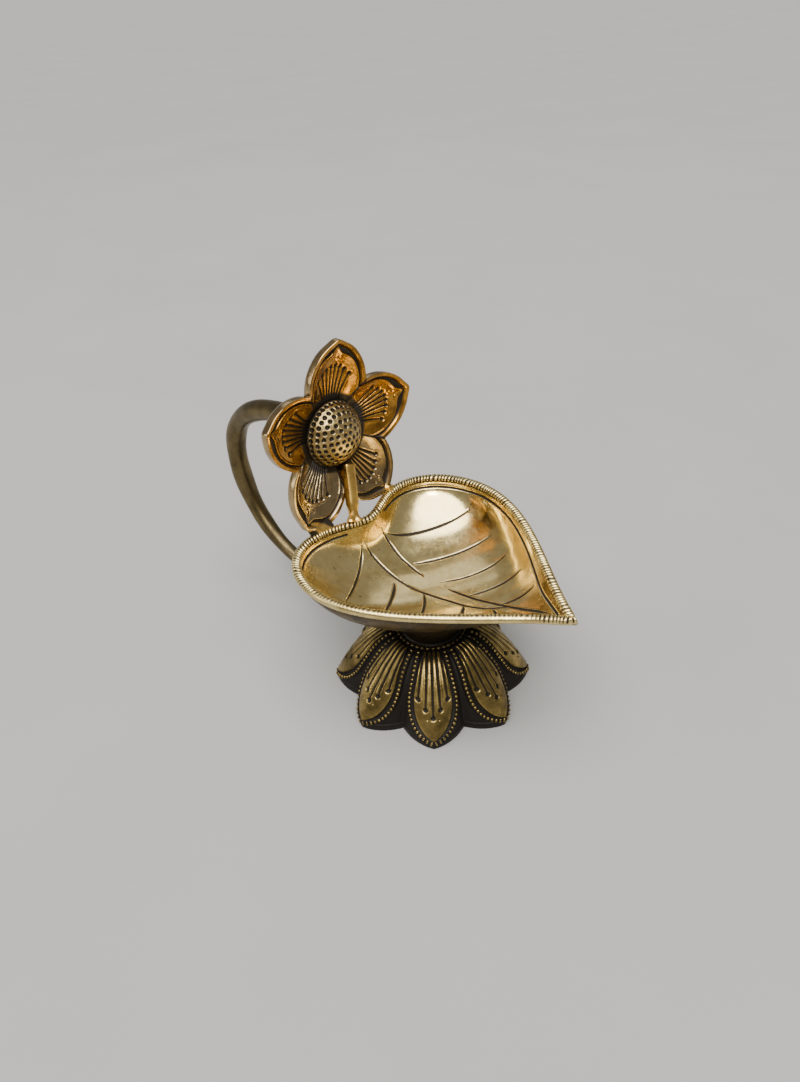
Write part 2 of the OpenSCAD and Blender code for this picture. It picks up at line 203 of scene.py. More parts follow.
def shell(rows, start=None, end=None, values=None):
    """Points, faces and values of a stack of rings. start and end are points that close its two ends."""
    r, n = rows.shape[:2]
    verts = [rows.reshape(-1, 3)]
    values = {k: [np.asarray(v, float).reshape(-1)] for k, v in (values or {}).items()}
    faces, count = grid_faces(r, n), r * n
    for point, first in ((start, 0), (end, (r - 1) * n)):
        if point is None:
            continue
        ring = [first + k for k in range(n)]
        pairs = [(ring[k], ring[(k + 1) % n]) for k in range(n)]
        faces += [[count, a, b] if first == 0 else [count, b, a] for a, b in pairs]
        verts.append(np.array([point], float))
        for v in values.values():
            v.append(v[0][first:first + 1])
        count += 1
    return np.vstack(verts), faces, {k: np.concatenate(v) for k, v in values.items()}


def lathe(profile, n=96):
    """Rings of a turned shape, from [radius, height] points that run from its top down."""
    a = np.arange(n) * 2 * math.pi / n
    p = np.array(profile, float)
    return np.stack([p[:, :1] * np.cos(a), p[:, :1] * np.sin(a), np.repeat(p[:, 1:], n, 1)], -1)


def ring_at(r, z, a):
    """A ring with its points at the angles a. r and z are numbers, or one value for each point."""
    return np.column_stack([r * np.cos(a), r * np.sin(a), z * np.ones(len(a))])


def join(parts):
    """One set of points, faces and values from several."""
    verts, faces, values, count = [], [], {}, 0
    for v, f, extra in parts:
        verts.append(v)
        faces += [[i + count for i in face] for face in f]
        for key, x in extra.items():
            values.setdefault(key, []).append(x)
        count += len(v)
    return np.vstack(verts), faces, {k: np.concatenate(v) for k, v in values.items()}


# ---------- materials ----------

class Nodes:
    """Short names for building a node tree."""

    def __init__(self, name):
        self.material = bpy.data.materials.new(name)
        self.material.use_nodes = True
        self.tree = self.material.node_tree
        self.tree.nodes.clear()
        self.shader = self.new("BsdfPrincipled")
        self.tree.links.new(self.shader.outputs[0], self.new("OutputMaterial").inputs[0])
        self.coord = self.new("TexCoord").outputs["Object"]

    def new(self, kind):
        return self.tree.nodes.new("ShaderNode" + kind)

    def link(self, value, socket):
        """Feed a socket with another node's output or with a plain value."""
        if hasattr(value, "is_output"):
            self.tree.links.new(value, socket)
        else:
            socket.default_value = value

    def noise(self, scale, detail=4, rough=0.6, stretch=None):
        """Noise with features of about 1000 / scale millimetres."""
        where = self.coord
        if stretch:
            m = self.new("Mapping")
            m.inputs["Scale"].default_value = stretch
            self.tree.links.new(where, m.inputs[0])
            where = m.outputs[0]
        n = self.new("TexNoise")
        n.inputs["Scale"].default_value = scale
        n.inputs["Detail"].default_value = detail
        n.inputs["Roughness"].default_value = rough
        self.tree.links.new(where, n.inputs["Vector"])
        return n.outputs["Fac"]

    def attribute(self, name):
        a = self.new("Attribute")
        a.attribute_name = name
        return a.outputs["Fac"]

    def ramp(self, value, lo, hi, out_lo=0.0, out_hi=1.0):
        """A soft step from out_lo to out_hi as the value goes from lo to hi."""
        r = self.new("MapRange")
        r.interpolation_type = "SMOOTHSTEP"
        for k, v in zip((0, 1, 2, 3, 4), (value, lo, hi, out_lo, out_hi)):
            self.link(v, r.inputs[k])
        return r.outputs[0]

    def math(self, how, a, b, clamp=False):
        m = self.new("Math")
        m.operation, m.use_clamp = how, clamp
        self.link(a, m.inputs[0])
        self.link(b, m.inputs[1])
        return m.outputs[0]

    def mix(self, fac, a, b):
        m = self.new("Mix")
        m.data_type = "RGBA"
        self.link(fac, m.inputs["Factor"])
        for socket, v in ((m.inputs[6], a), (m.inputs[7], b)):
            self.link(v if hasattr(v, "is_output") else (*v, 1), socket)
        return m.outputs[2]

    def bump(self, height, distance, below=None):
        """A bumped normal. distance is its depth in millimetres, and below is a normal it is laid on."""
        b = self.new("Bump")
        b.inputs["Distance"].default_value = distance * MM
        b.inputs["Strength"].default_value = 1.0
        self.tree.links.new(height, b.inputs["Height"])
        if below is not None:
            self.tree.links.new(below, b.inputs["Normal"])
        return b.outputs[0]


PATINA_AND_SHADE_COLOUR = (0.022, 0.016, 0.010)


def brass(name, bright, deep, grime_and_shade=PATINA_AND_SHADE_COLOUR, rough=(0.16, 0.3), age=0.3, grain=0.02,
          scratches=True, dull=0.6, pits=0.35, painted_reflection_colours=None):
    """Aged brass, mottled between two colours. A per-point attribute says how deep a point lies and how dark
    it is: 1 is packed with dark patina in the cuts, and with patina and painted shade in joins, recesses and
    undersides; 0 is a rubbed high spot. age spreads the patina over the open surface, and pits scatters small
    casting pits. rough is the roughness where polished and where worn, and dull that of patina and painted
    shade. The last argument is another pair of colours, a painted reflection, laid on where the piece's
    reflection attribute is 1."""
    m = Nodes(name)
    depth = m.attribute("patina_and_shade")
    cloud = m.noise(70, 5, 0.62)
    fine = m.noise(620, 4, 0.7)
    mottled = m.noise(210, 5, 0.65)
    # Patina packed into the engraved cuts, and patina with painted shade in the joins, recesses and
    # undersides, with a ragged edge; patina in clouds over the rest
    edge = m.math("ADD", depth, m.math("MULTIPLY", m.math("SUBTRACT", mottled, 0.5), 0.55))
    packed = m.ramp(edge, 0.32, 0.72)
    haze = m.math("MULTIPLY", m.ramp(cloud, 0.42, 0.72), age)
    specks = m.math("MULTIPLY", m.ramp(m.noise(900, 1, 0.4), 0.745, 0.775), pits)
    dirt_and_shade = m.math("MAXIMUM", m.math("MAXIMUM", packed, haze), specks, clamp=True)
    patches = m.ramp(mottled, 0.35, 0.7)
    tone_and_reflection = m.mix(patches, bright, deep)
    # Painted reflection: another pair of colours, laid on where the piece's reflection attribute is 1
    if painted_reflection_colours:
        tone_and_reflection = m.mix(m.attribute("tone_and_reflection"), tone_and_reflection, m.mix(patches, *painted_reflection_colours))
    m.link(m.mix(dirt_and_shade, tone_and_reflection, grime_and_shade), m.shader.inputs["Base Color"])
    m.link(m.ramp(packed, 0, 1, 1.0, 0.55), m.shader.inputs["Metallic"])
    polish = m.ramp(m.math("ADD", m.math("MULTIPLY", fine, 0.5), m.math("MULTIPLY", cloud, 0.5)),
                    0.35, 0.68, rough[0], rough[1])
    m.link(m.math("ADD", polish, m.math("MULTIPLY", dirt_and_shade, dull - rough[1]), clamp=True),
           m.shader.inputs["Roughness"])
    normal = m.bump(mottled, grain * 2.2)
    normal = m.bump(fine, grain, below=normal)
    if scratches:
        lines = m.noise(160, 3, 0.6, stretch=(1.0, 14.0, 1.0))
        normal = m.bump(lines, 0.006, below=normal)
    m.link(normal, m.shader.inputs["Normal"])
    return m.material


BOWL = brass("polished_leaf_brass", (0.87, 0.70, 0.33), (0.77, 0.58, 0.24), rough=(0.13, 0.27), age=0.10,
             grain=0.006, pits=0.8)
ROPE = brass("roped_rim_brass", (0.86, 0.69, 0.31), (0.62, 0.47, 0.19), rough=(0.2, 0.36), age=0.2)
# The underside's brass is a far darker copy of the inside's: patina and painted shade on the downward-facing
# wall
UNDER = brass("bowl_underside_brass", (0.15, 0.10, 0.04), (0.09, 0.062, 0.026), rough=(0.28, 0.45), age=0.5,
              grain=0.03)
# The flower's last pair of colours, greyer and paler, is a painted reflection on the lower petals' faces and
# the side walls
FLOWER = brass("flower_brass", (0.57, 0.28, 0.045), (0.29, 0.14, 0.026), rough=(0.13, 0.27), age=0.72,
               grain=0.009, scratches=False, painted_reflection_colours=((0.44, 0.35, 0.20), (0.31, 0.24, 0.13)))
DOME = brass("dimpled_dome_brass", (0.50, 0.38, 0.17), (0.38, 0.26, 0.10), rough=(0.26, 0.42),
             scratches=False)
STEM = brass("stem_brass", (0.88, 0.56, 0.15), (0.62, 0.38, 0.10), rough=(0.24, 0.4), age=0.2, grain=0.03)
FOOT = brass("lotus_foot_brass", (0.37, 0.265, 0.088), (0.18, 0.13, 0.045), grime_and_shade=(0.011, 0.008, 0.0055),
             rough=(0.2, 0.36), age=0.5, grain=0.03, scratches=False, dull=0.7)
NECK = brass("neck_brass", (0.15, 0.11, 0.05), (0.09, 0.065, 0.03), rough=(0.34, 0.5), age=0.7, grain=0.03)
ROD = brass("handle_brass", (0.17, 0.13, 0.06), (0.11, 0.082, 0.04), rough=(0.28, 0.4), age=0.25,
            grain=0.012)
FIXING = brass("fastener_brass", (0.66, 0.54, 0.30), (0.54, 0.42, 0.22), rough=(0.25, 0.4))


# ---------- leaf bowl ----------

MIDDLE = np.array([-4.0, 0.0])


def leaf_line(n):
    """The rim's middle line as n even steps from the tip, anticlockwise, with its outward directions."""
    front = [[TIP, 0], [0.64 * TIP, 0.31 * HALF_W], [0.25 * TIP, HALF_W], [-0.28 * LOBE, HALF_W]]
    lobe = [front[3], [-0.69 * LOBE, HALF_W], [-LOBE, 0.785 * HALF_W], [-LOBE, 0.52 * HALF_W]]
    notch = [lobe[3], [-LOBE, 0.29 * HALF_W], [-0.85 * LOBE, 0.18 * HALF_W], [NOTCH_X, 0]]
    t = np.arange(200) / 200
    half = np.vstack([bezier(c, t) for c in (front, lobe, notch)])
    line = resample(np.vstack([half, [[NOTCH_X, 0]], half[:0:-1] * [1, -1]]), n, closed=True)
    d = unit(np.roll(line, -1, 0) - np.roll(line, 1, 0))
    out = np.stack([d[:, 1], -d[:, 0]], 1)
    # Mitre at the tip: the inner offset never crosses the middle
    near = line[:, 0] > TIP - 4
    limit = np.abs(line[:, 1]) / ROPE_R * 0.97
    out[near, 1] = np.clip(out[near, 1], -limit[near], limit[near])
    out[0] = [1, 0]
    return line, out


def side_reach(h, roundness):
    """How far out the wall stands at height h, as a share of the rim, at the sides and the lobes."""
    return np.sqrt(np.maximum(0, 1 - (1 - h) ** roundness))


def tip_reach(h):
    """The same towards the tip, where the wall is flatter."""
    return h ** 0.66


def level_line(h, edge, roundness=1.85):
    """The bowl's wall at height h, 0 the floor and 1 the rim: an oval that grows into the leaf."""
    p = edge - MIDDLE
    ax = np.where(p[:, 0] > 0, TIP - MIDDLE[0], LOBE + MIDDLE[0])
    a = np.arctan2(p[:, 1] / HALF_W, p[:, 0] / ax)
    oval = np.stack([ax * np.cos(a), HALF_W * np.sin(a)], 1)
    q = oval + smooth(0, 1, h) * (p - oval)
    side = side_reach(h, roundness) * np.ones(len(p))
    return MIDDLE + q * np.stack([np.where(p[:, 0] > 0, tip_reach(h), side), side], 1)


def inside_rows(levels, line, out):
    """The bowl's inside, one ring of points for each level."""
    rows = [np.column_stack([level_line(h, line - 0.9 * ROPE_R * out),
                             np.full(len(line), BOWL_BOTTOM + (BOWL_DEPTH - 0.5) * h)]) for h in levels]
    return np.array(rows)


def outside_rows(levels, line, out):
    """The outside is less rounded than the inside, but for the notch."""
    slim = np.where(line[:, 0] > 0, 1.0, smooth(6, 18, np.abs(line[:, 1])))
    edge = line + (lerp(0.62, 0.2, slim) * ROPE_R)[:, None] * out
    rows = []
    for h in levels:
        p = level_line(h, edge, lerp(1.85, 1.72, slim))
        z = BOWL_BOTTOM - FLOOR_T + (BOWL_DEPTH + FLOOR_T - 0.9) * h
        pad = SEAT_Z + 1.3 + 0.85 * np.maximum(0, np.linalg.norm(p, axis=1) - 13.5)
        rows.append(np.column_stack([p, np.minimum(z, pad)]))
    return np.array(rows)


# Engraved lines of the leaf, in millimetres on plan: the two midrib lines that join towards the tip,
# and the side veins as (start, pull, end), on either side
MIDRIB = [
    [(-25.8, 5.5), (-22, 5.4), (-18, 4.8), (-14, 4.5), (-10, 4.2), (-6, 4.0)],
    [(5, 3.2), (9, 3.1), (15, 2.7), (20, 2.5), (25, 2.4), (31, 2.1), (36, 1.8), (40, 1.5), (43.5, 1.2)],
    [(-25.5, -3.3), (-22, -3.1), (-15, -3.1), (-8, -3.0), (-2, -2.6), (3, -2.2), (9, -1.8), (16, -1.7),
     (20, -1.3), (24, -0.2), (27, 1.2), (30, 2.2)]]
FAR_VEINS = [((-25, 7), (-18.6, 18.2), (-10.4, 33.2)), ((-12.5, 5.9), (-4.4, 17), (2.6, 29)),
             ((0.2, 5.0), (8.4, 12), (12.9, 23)), ((13.4, 3.1), (19.2, 9.4), (23, 17)),
             ((26.4, 2.7), (31, 6), (33, 9.8))]
NEAR_VEINS = [((-25.5, -4.8), (-19.4, -12), (-12.2, -25.5)), ((-10.6, -5.3), (-4.8, -11.8), (1.2, -26)),
              ((0, -3.0), (6, -8), (11.6, -20.5)), ((15.7, -2.1), (18.8, -6), (22.2, -14.5)),
              ((25.6, -0.2), (29.4, -2.5), (32.4, -8.3))]


def engraved_lines(surface):
    """Points along every engraved line, on the surface, with the line's half-width at each."""
    flat = surface.reshape(-1, 3)
    tree = tree_of(flat * [1, 1, 0])
    points, widths = [], []

    def add(plan, half, taper):
        t = np.linspace(0, 1, len(plan))
        ends = smooth(0, taper, t) * smooth(0, taper * 1.5, 1 - t)
        for (x, y), e in zip(plan, ends):
            z = flat[tree.find(Vector((x, y, 0)))[1]][2]
            points.append((x, y, z))
            widths.append(half * (0.45 + 0.55 * e))

    for rib in MIDRIB:
        rib = np.array(rib, float)
        at, t = np.linspace(0, 1, len(rib)), np.linspace(0, 1, 300)
        add(np.column_stack([curve_value(at, rib[:, 0], t), curve_value(at, rib[:, 1], t)]), 0.44, 0.10)
    for start, pull, end in FAR_VEINS + NEAR_VEINS:
        t = np.linspace(0, 1, 180)[:, None]
        v = (1 - t) ** 2 * np.array(start) + 2 * t * (1 - t) * np.array(pull) + t * t * np.array(end)
        add(v, 0.47, 0.2)
    return np.array(points), np.array(widths)


def rim_groove(line, out):
    """Points along the chased line that follows the rim, with a gap at the notch."""
    level = 0.87 + 0.07 * smooth(TIP - 14, TIP - 2, line[:, 0])
    follow = np.array([inside_rows([h], line[k:k + 1], out[k:k + 1])[0][0] for k, h in enumerate(level)])
    follow = follow[~((np.abs(line[:, 1]) < 8.5) & (line[:, 0] < 0))]
    step = np.roll(follow, -1, 0) - follow
    points = np.vstack([follow + step * s for s in (0, 0.33, 0.66)])
    across_gap = np.linalg.norm(step, axis=1) > 2
    return points[~np.tile(across_gap, 3)]


def build_bowl_inside():
    """The polished inside of the leaf, with its engraved lines."""
    n = 560
    line, out = leaf_line(n)
    levels = (np.arange(1, 151) / 150) ** 1.5
    inner = inside_rows(levels, line, out)
    points, widths = engraved_lines(inner)
    groove = rim_groove(line, out)
    points, widths = np.vstack([points, groove]), np.append(widths, np.full(len(groove), 0.40))
    dist, which = nearest(points, inner)
    gap = dist - widths[which]
    cut_depth = 0.30 * (1 - smooth(-0.34, 0.14, gap))
    lip = 0.04 * np.exp(-((gap - 0.28) / 0.16) ** 2) * smooth(0.28, 0.42, widths[which])
    inner += grid_normals(inner) * (lip - cut_depth)[..., None]
    # A hand-finished surface is never quite even
    x, y = inner[..., 0], inner[..., 1]
    inner[..., 2] += 0.05 * np.sin(x * 0.31 + 0.8) * np.cos(y * 0.27) + 0.03 * np.sin(0.7 * x - 0.5 * y)
    # Grime gathers in the lines; just under the rope the wall is darker too: grime and painted shade
    patina_and_shade = np.maximum(inked(gap - 0.04), 0.5 * smooth(0.975, 1.0, levels)[:, None] * np.ones(n))
    shape = shell(inner, start=[*MIDDLE, inner[0, :, 2].mean()], values={"patina_and_shade": patina_and_shade})
    make_piece("leaf_bowl_inside", shape, ["leaf_bowl"], BOWL)


def build_bowl_underside():
    """The bowl's outside from under the rope to its seat, with the boss that takes the stud."""
    n = 320
    line, out = leaf_line(n)
    levels = 1 - (np.arange(0, 44) / 44) ** 1.25 * 0.995
    outer = outside_rows(levels, line, out)
    under_rope = np.column_stack([line + 0.64 * ROPE_R * out, np.full(n, RIM_Z - 0.77 * ROPE_R)])
    outer = np.concatenate([[under_rope, lerp(under_rope, outer[0], 0.5)], outer])
    levels = np.append([1, 1], levels)
    # Darker towards the seat and just under the rope, and the seat ring and boss darker still: patina and
    # painted shade under the bowl
    patina_and_shade = (0.25 + 0.45 * smooth(0.5, 0.02, levels) + 0.25 * smooth(0.6, 0.9, levels))[:, None] * np.ones(n)
    under = shell(outer, end=[*MIDDLE, SEAT_Z + 0.2], values={"patina_and_shade": patina_and_shade})
    ring = lathe([[12.0, SEAT_Z + 1.7], [13.9, SEAT_Z + 1.7], [13.4, SEAT_Z + 0.25], [13.2, SEAT_Z],
                  [BOSS_R, SEAT_Z]])
    boss = lathe([[BOSS_R, SEAT_Z + 0.1], [BOSS_R, NECK_TOP - 4.6], [BOSS_R - 0.4, NECK_TOP - 5],
                  [STUD_R, NECK_TOP - 5]], 64)
    parts = [under] + [shell(r, values={"patina_and_shade": np.full(r.shape[:2], 0.6)}) for r in (ring, boss)]
    shape = join(parts)
    make_piece("leaf_bowl_underside", shape, ["leaf_bowl"], UNDER, 50)


def build_rope():
    """The roped rim: a rolled edge with slanted, hand-chased ribs."""
    ribs, per_rib, around = 214, 9, 18
    n = ribs * per_rib
    line, out = leaf_line(n)
    at, total = along(line, closed=True)
    phase = at / total * ribs
    wander = sum(a * np.sin(2 * math.pi * (k * at / total) + p)
                 for a, k, p in ((0.30, 7, 0.4), (0.22, 17, 2.0), (0.16, 41, 4.1)))
    a = np.arange(around) * 2 * math.pi / around
    # Ribs lean over, more at the lobes and the notch than along the sides
    lean = lerp(0.16, 0.5, smooth(5, -28, line[:, 0]))
    wave = np.cos(2 * math.pi * ((phase + wander)[:, None] + lean[:, None] * np.cos(a)))
    # On the near long side only a row of nicks is left, along the inner edge
    near = smooth(-4, -9, line[:, 1]) * smooth(-16, -8, line[:, 0])
    worn = smooth(0.35, -0.15, np.cos(a)) * smooth(0.15, 0.5, np.sin(a))
    reach = lerp(smooth(-0.9, 0.2, np.sin(a)), worn, near[:, None])
    strength = lerp(0.75, 1.0, smooth(10, -26, line[:, 0]))[:, None] * reach
    groove = smooth(-0.2, 0.65, wave) * strength
    radius = ROPE_R * (1.0 - 0.25 * groove) * np.where(np.cos(a) < 0, 1 + 0.35 * np.cos(a) ** 2, 1)
    aside = radius * np.cos(a)
    rows = np.stack([line[:, :1] + out[:, :1] * aside, line[:, 1:] + out[:, 1:] * aside,
                     RIM_Z + radius * np.sin(a)], -1)
    faces = grid_faces(n, around)
    last = (n - 1) * around
    faces += [[last + k, k, (k + 1) % around, last + (k + 1) % around] for k in range(around)]
    # The rib grooves hold patina; the rope's lower inner side, against the bowl wall, gets painted shade
    inner_low = smooth(0.2, -0.75, np.cos(a)) * smooth(0.7, -0.4, np.sin(a))
    patina_and_shade = np.maximum(groove * 0.95, inner_low[None, :] * 0.75)
    shape = (rows.reshape(-1, 3), faces, {"patina_and_shade": patina_and_shade})
    make_piece("leaf_bowl_roped_rim", shape, ["leaf_bowl"], ROPE)


# ---------- flower ----------

FLOWER_PLACE = np.array(Matrix.Translation(Vector(FLOWER_MID.tolist()))
                        @ Matrix.Rotation(math.radians(FLOWER_YAW), 4, "Z")
                        @ Matrix.Rotation(math.radians(90 - FLOWER_TILT), 4, "Y"))
HALF_STEP = math.radians(36)
PETAL_EXTRA = (0.6, 1.0, 1.3, 0.0, 0.2)


def from_flower(p):
    """Points of the flower's own frame (its third axis leaves its face) in the row frame."""
    p = np.asarray(p, float)
    return p @ FLOWER_PLACE[:3, :3].T + FLOWER_PLACE[:3, 3]


def petal_angle(petal):
    """Where a petal's middle points, in the flower's own frame."""
    return math.radians(180 - FLOWER_SPIN + 72 * petal)


def petal_edge(u, petal):
    """The outline's radius across a petal, u from -1 to 1. Some petals are longer than others, and
    number 2 is fuller on its lower side."""
    fall = np.where((petal == 2) & (u > 0), 2.3, 1.6)
    return (FLOWER_R - 0.6 + PETAL_EXTRA[petal] * (1 - np.abs(u)) - 10.4 * np.abs(u) ** fall
            + 0.6 * np.exp(-(u / 0.1) ** 2))


def cup(r, u):
    """Height of the flower's face: a bowl that opens outwards, with raised valleys between petals."""
    return (-CUP + CUP * np.maximum(0, (r - 8) / (FLOWER_R - 8)) ** 1.5
            + 2.3 * u * u * np.clip((r - 11) / 8.5, 0, 1))


def fan_gap(a, b):
    """Distance outside a petal's fanned lines and punched dots. a runs out along the petal, b across."""
    gap = np.full(a.shape, 9.0)
    for k in np.arange(-3.5, 4):
        end_b = 1.78 * k
        end_a = 22.6 - 0.10 * end_b ** 2
        t = np.clip((a - 12.0) / (end_a - 12.0), 0, 1)
        mid = lerp(0.95 * k, end_b, t ** 1.15)
        line = np.hypot(b - mid, np.maximum(0, a - end_a)) - lerp(0.40, 0.26, t)
        dot = np.hypot(a - end_a, b - end_b) - 0.66
        gap = np.minimum(gap, np.minimum(line, dot))
    for a0, b0 in ((25.0, 1.2), (25.3, -1.1)):
        gap = np.minimum(gap, np.hypot(a - a0, b - b0) - 0.26)
    return gap


def petal_front(u, edge):
    """Radius, height and darkening of a petal's face: a rim, a groove and a panel with fanned lines. The
    darkening is patina, with painted shade in the moat and valleys and a painted reflection in the hollow.
    """
    slope = np.gradient(edge, u * HALF_STEP) / edge
    square = 1 / np.sqrt(1 + slope ** 2)
    s = np.linspace(0, 1, 118) ** 0.9
    r = lerp(10.9, edge[None, :], s[:, None])
    from_edge = (edge - r) * square
    # The inner panel has a pointed ogee tip
    panel = from_edge - 2.0 - 1.6 * np.exp(-(u / 0.34) ** 2) + 1.7 * np.exp(-(np.abs(u) / 0.09) ** 1.3)
    rim = smooth(1.75, 1.05, from_edge)
    inside = smooth(-0.1, 0.35, panel)
    lip = np.exp(-((panel - 0.45) / 0.4) ** 2)
    hollow = smooth(0.6, 4.5, panel)
    height = 0.42 * rim - 0.12 * smooth(0.9, 0.0, from_edge) ** 2 - 0.5 * (1 - rim) * (1 - inside)
    height += 0.22 * lip - 0.35 * hollow * inside
    gap = fan_gap(r * np.cos(u * HALF_STEP), r * np.sin(u * HALF_STEP))
    height += 0.07 * np.exp(-((gap - 0.5) / 0.32) ** 2) - 0.5 * smooth(0.2, -0.25, gap)
    w = cup(r, np.broadcast_to(u, r.shape)) - 0.25 + height
    # Darker in the moat round the dome and in the valleys near the hub: patina and painted shade. The panel's
    # hollow is a little darker: a painted dark reflection.
    moat = smooth(16.0, 11.4, r)
    groove = np.minimum(inked(1.4 - from_edge), inked(panel - 0.1))
    valley = smooth(0.86, 1.0, np.abs(u))[None, :] * smooth(21.5, 18.5, r)
    patina_and_shade = np.maximum.reduce([inked(gap), 0.9 * moat, 0.95 * groove, 0.1 + 0.08 * hollow * inside])
    patina_and_shade = np.where(rim > 0.5, np.minimum(patina_and_shade, 0.4), patina_and_shade)
    return r, w, np.maximum(patina_and_shade, 0.75 * valley)


def petal_back(u, edge):
    """Radius, height and darkening of a petal's side wall and back: patina, with painted shade towards the
    hub.
    """
    share = np.array([1, 1, 1, 0.985, 0.93, 0.86, 0.76, 0.66, 0.56, 0.46, 0.36, 0.26, 0.16, 0.06])
    drop = np.array([0.55, 1.4, 2.3, 3.1, 3.42, 3.45, 3.4, 3.35, 3.3, 3.3, 3.25, 3.25, 3.2, 3.2])
    bulge = np.array([0.05, 0.12, 0.18, 0.18] + [0] * 10)
    r = lerp(11.6, edge[None, :], share[:, None]) + bulge[:, None]
    w = cup(np.minimum(r, edge[None, :]), np.broadcast_to(u, r.shape)) + 0.03 - drop[:, None]
    r = np.vstack([r, np.full((1, len(u)), 8.0)])
    w = np.vstack([w, np.full((1, len(u)), -CUP - HUB_T)])
    # Brightest on the side wall, darker over the back towards the hub: patina and painted shade
    patina_and_shade = np.concatenate([[0.05, 0.05, 0.1, 0.2], np.full(10, 0.34), [0.45]])[:, None] * np.ones(len(u))
    return r, w, patina_and_shade


def build_flower():
    """The whole cast flower as one closed shell: hub, five faces, side walls and back."""
    per = 128
    u = -1 + 2 * np.arange(per) / per
    u = np.sign(u) * np.abs(u) ** 0.92
    petals = []
    for petal in range(5):
        edge = petal_edge(u, petal)
        pairs = zip(petal_front(u, edge), petal_back(u, edge))
        petals.append([np.vstack(pair) for pair in pairs])
    r, w, patina_and_shade = (np.hstack([p[k] for p in petals]) for k in range(3))
    r, w, patina_and_shade = (np.vstack([np.full(5 * per, x), grid]) for x, grid in ((7.0, r), (-CUP, w), (0.9, patina_and_shade)))
    angles = np.concatenate([petal_angle(petal) + u * HALF_STEP for petal in range(5)])
    rows = np.stack([r * np.cos(angles), r * np.sin(angles), w], -1)
    rows[..., 2] += 0.06 * np.sin(rows[..., 0] * 0.6 + 1) * np.cos(rows[..., 1] * 0.55)
    # Painted reflection: the lower two petals' faces are greyer, the side wall is pale and the back is
    # between
    face = np.repeat([0.0, 0.0, 0.85, 0.75, 0.0], per)
    sides = np.concatenate([np.full(4, 0.8), np.full(11, 0.35)])
    painted_reflection = np.vstack([np.tile(face, (len(rows) - 15, 1)), sides[:, None] * np.ones(5 * per)])
    shape = shell(from_flower(rows), start=from_flower([0, 0, -CUP]), end=from_flower([0, 0, -CUP - HUB_T]),
                  values={"patina_and_shade": patina_and_shade, "tone_and_reflection": painted_reflection})
    make_piece("flower_petals", shape, ["flower"], FLOWER)


def direction(lean, turn):
    """The unit direction that leans from the third axis by one angle and is turned round it by another."""
    lean, turn = np.broadcast_arrays(lean, turn)
    return np.stack([np.sin(lean) * np.cos(turn), np.sin(lean) * np.sin(turn), np.cos(lean)], -1)


def dimple_spots(half):
    """Directions of the dimples: one on top, then rings of 6, 12, 18 and so on."""
    rings = 6
    spots = [direction(0.0, 0.0)]
    for ring in range(1, rings + 1):
        for k in range(6 * ring):
            lean = ring * half / (rings + 0.55) + RANDOM.normal(0, 0.008)
            spots.append(direction(lean, (k + 0.5 * (ring % 2)) / (6 * ring) * 2 * math.pi))
    return np.array(spots)


def build_dome():
    """The seed head: a dome with rings of punched dimples."""
    ball = (DOME_R ** 2 + DOME_H ** 2) / (2 * DOME_H)
    half = math.asin(DOME_R / ball)
    rows_n, n = 96, 300
    t = (np.arange(1, rows_n + 1) / rows_n * half)[:, None] * np.ones(n)
    normal = direction(t, np.arange(n) * 2 * math.pi / n)
    dist, _ = nearest(dimple_spots(half) * ball, normal * ball)
    dimple = smooth(0.84, 0.3, dist)
    lip = np.exp(-((dist - 0.98) / 0.16) ** 2)
    radius = ball - 0.6 * dimple + 0.06 * lip
    rows = normal * radius[..., None] + [0, 0, DOME_H - ball - CUP]
    # Patina in the dimples; the dome's lower edge and its foot on the flower are darker: patina and painted
    # shade
    patina_and_shade = np.maximum.reduce([inked(dist - 0.74), 0.7 * smooth(half * 0.86, half, t), np.full(t.shape, 0.1)])
    foot = rows[-1:] * [1, 1, 0] + [0, 0, -CUP]
    rows = np.concatenate([rows, foot])
    patina_and_shade = np.vstack([patina_and_shade, np.full((1, n), 0.95)])
    top = from_flower([0, 0, DOME_H - CUP - 0.55])
    shape = shell(from_flower(rows), start=top, end=from_flower([0, 0, -CUP]), values={"patina_and_shade": patina_and_shade})
    make_piece("flower_seed_head", shape, ["flower_centre"], DOME)


# ---------- stem and lugs ----------

def sweep(path, radii, sides, squareness=0.0):
    """Rings of a bar along a path, from one radius or two at each point. squareness flattens its faces."""
    d = unit(np.gradient(path, axis=0))
    side = unit(np.cross(d, [0, 1, 0]))
    up = np.cross(side, d)
    a = np.arange(sides) * 2 * math.pi / sides
    shape = (np.abs(np.cos(a)) ** 4 + np.abs(np.sin(a)) ** 4) ** -0.25
    k = 1 + squareness * (shape - 1)
    r = np.asarray(radii, float)
    if r.ndim == 1:
        r = np.column_stack([r, r])
    return (path[:, None] + r[:, :1, None] * (k * np.cos(a))[None, :, None] * side[:, None]
            + r[:, 1:, None] * (k * np.sin(a))[None, :, None] * up[:, None])


def lumpy(rows, path, lump):
    """The rings of a bar with each point moved towards or away from the path."""
    return path[:, None] + (rows - path[:, None]) * lump[..., None]


